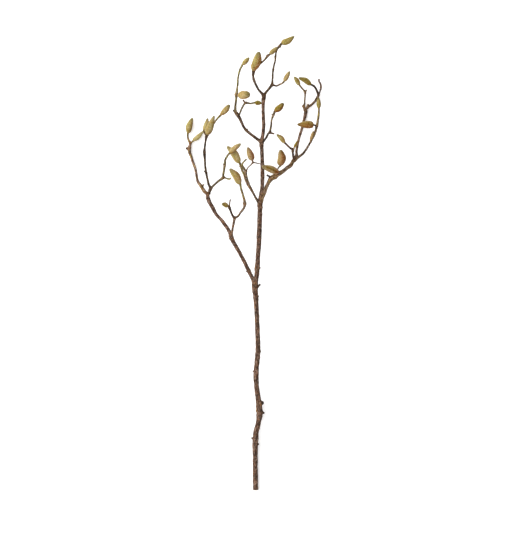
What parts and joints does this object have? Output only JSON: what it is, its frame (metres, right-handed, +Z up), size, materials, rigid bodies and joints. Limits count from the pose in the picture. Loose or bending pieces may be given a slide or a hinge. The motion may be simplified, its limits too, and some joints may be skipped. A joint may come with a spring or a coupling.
{
  "type": "saucer magnolia branch",
  "caption": "Cut woody magnolia branch in winter, with forked limbs, thin twigs and velvety pointed flower buds at the twig ends, lying flat.",
  "frame": {"origin": "on the surface that the branch lies on, under the middle of its bounding box", "axes": "+Y along the branch from the cut end to the top buds, +X to the right when seen from above, +Z up"},
  "size_m": [0.3419, 1.1376, 0.1354],
  "materials": {
    "bark": "matt grey-brown bark with ring scars, thin shoots olive brown",
    "bud_olive": "dense short velvety hair, olive yellow",
    "bud_tan": "dense short velvety hair, warm tan",
    "bud_brown": "dense short velvety hair, golden brown"
  },
  "bodies": {
    "root": {"branch_wood": "bark", "bud_01": "bud_olive", "bud_02": "bud_tan", "bud_03": "bud_olive", "bud_04": "bud_olive", "bud_05": "bud_tan", "bud_06": "bud_tan", "bud_07": "bud_olive", "bud_08": "bud_brown", "bud_09": "bud_olive", "bud_10": "bud_olive", "bud_11": "bud_olive", "bud_12": "bud_tan", "bud_13": "bud_tan", "bud_14": "bud_tan", "bud_15": "bud_olive", "bud_16": "bud_brown", "bud_17": "bud_olive", "bud_18": "bud_tan", "bud_19": "bud_brown", "bud_20": "bud_brown", "bud_21": "bud_olive", "bud_22": "bud_olive", "bud_23": "bud_brown", "bud_24": "bud_brown", "bud_25": "bud_olive", "bud_26": "bud_olive", "bud_27": "bud_olive"}
  },
  "joints": []
}
